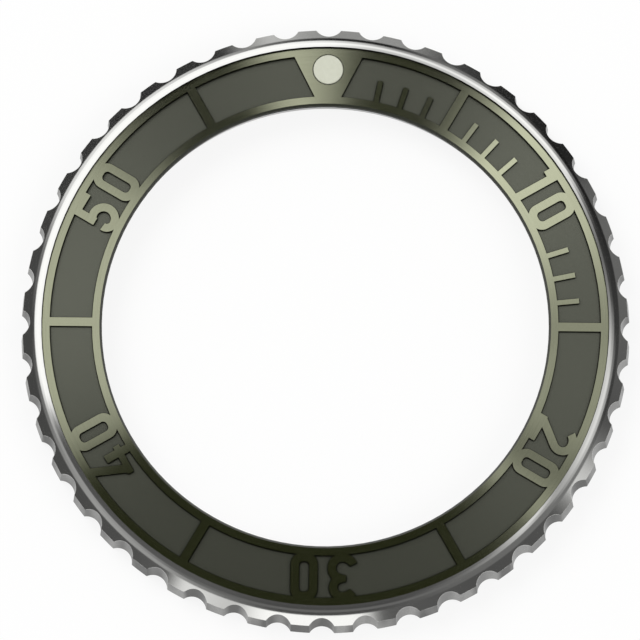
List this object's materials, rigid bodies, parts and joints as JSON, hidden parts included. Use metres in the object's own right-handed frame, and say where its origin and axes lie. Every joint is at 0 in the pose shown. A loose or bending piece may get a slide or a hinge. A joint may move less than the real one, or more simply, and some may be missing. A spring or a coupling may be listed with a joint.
{
  "type": "rotating watch bezel",
  "caption": "Unidirectional dive watch bezel: coin-edge steel ring, openwork minute insert with luminous pip, ratchet, spring clicks and fixed seat ring.",
  "frame": {"origin": "on the axis of rotation, in the seat ring's rest face that lies on the watch case", "axes": "+Z along the axis, out of the dial; +Y to 12 o'clock; +X to 3 o'clock"},
  "size_m": [0.041, 0.041, 0.003],
  "materials": {
    "polished_steel": "polished and fine-turned stainless steel",
    "olive_anodised_frame": "circular satin grain, olive-khaki anodised",
    "dark_grained_plate": "matt, finely grained, dark grey",
    "adhesive": "thin double-sided adhesive",
    "nickel_cup": "pressed, satin",
    "luminous_filling": "pale cream luminous paste",
    "clear_cap": "clear, polished",
    "hardened_steel": "stamped, hardened and tumbled",
    "pin_steel": "ground",
    "turned_steel": "turned",
    "glide_plastic": "smooth, waxy white",
    "seal_rubber": "black, lightly greased",
    "spring_steel": "cold-drawn, bright",
    "screw_steel": "turned and polished heads"
  },
  "bodies": {
    "seat": {"seat_ring": "turned_steel", "glide_ring": "glide_plastic", "drag_seal": "seal_rubber", "retaining_wire": "spring_steel", "click_pins": "pin_steel", "click_spring_screws": "screw_steel", "click_spring_1": "spring_steel", "click_spring_2": "spring_steel", "click_spring_3": "spring_steel"},
    "bezel": {"bezel_ring": "polished_steel", "insert_frame": "olive_anodised_frame", "insert_plate": "dark_grained_plate", "insert_adhesive": "adhesive", "pip_cup": "nickel_cup", "pip_lume": "luminous_filling", "pip_lens": "clear_cap", "ratchet_ring": "hardened_steel", "ratchet_keys": "pin_steel"},
    "click_1": {"click_lever_1": "hardened_steel"},
    "click_2": {"click_lever_2": "hardened_steel"},
    "click_3": {"click_lever_3": "hardened_steel"}
  },
  "joints": [
    {"name": "bezel_turn", "type": "hinge", "parent": "seat", "child": "bezel", "pos_m": [0, 0, 0], "axis": [0, 0, 1], "continuous": true},
    {"name": "click_lift_1", "type": "hinge", "parent": "seat", "child": "click_1", "pos_m": [0.00298, 0.01689, 0.00169], "axis": [0, 0, 1], "range_deg": [0, 6], "stiffness_Nm_per_rad": 0.002, "springref_deg": -11.46, "deforming": ["click_spring_1"]},
    {"name": "click_lift_2", "type": "hinge", "parent": "seat", "child": "click_2", "pos_m": [-0.01612, -0.00587, 0.00169], "axis": [0, 0, 1], "range_deg": [0, 6], "stiffness_Nm_per_rad": 0.002, "springref_deg": -11.46, "deforming": ["click_spring_2"]},
    {"name": "click_lift_3", "type": "hinge", "parent": "seat", "child": "click_3", "pos_m": [0.01314, -0.01102, 0.00169], "axis": [0, 0, 1], "range_deg": [0, 6], "stiffness_Nm_per_rad": 0.002, "springref_deg": -11.46, "deforming": ["click_spring_3"]}
  ]
}
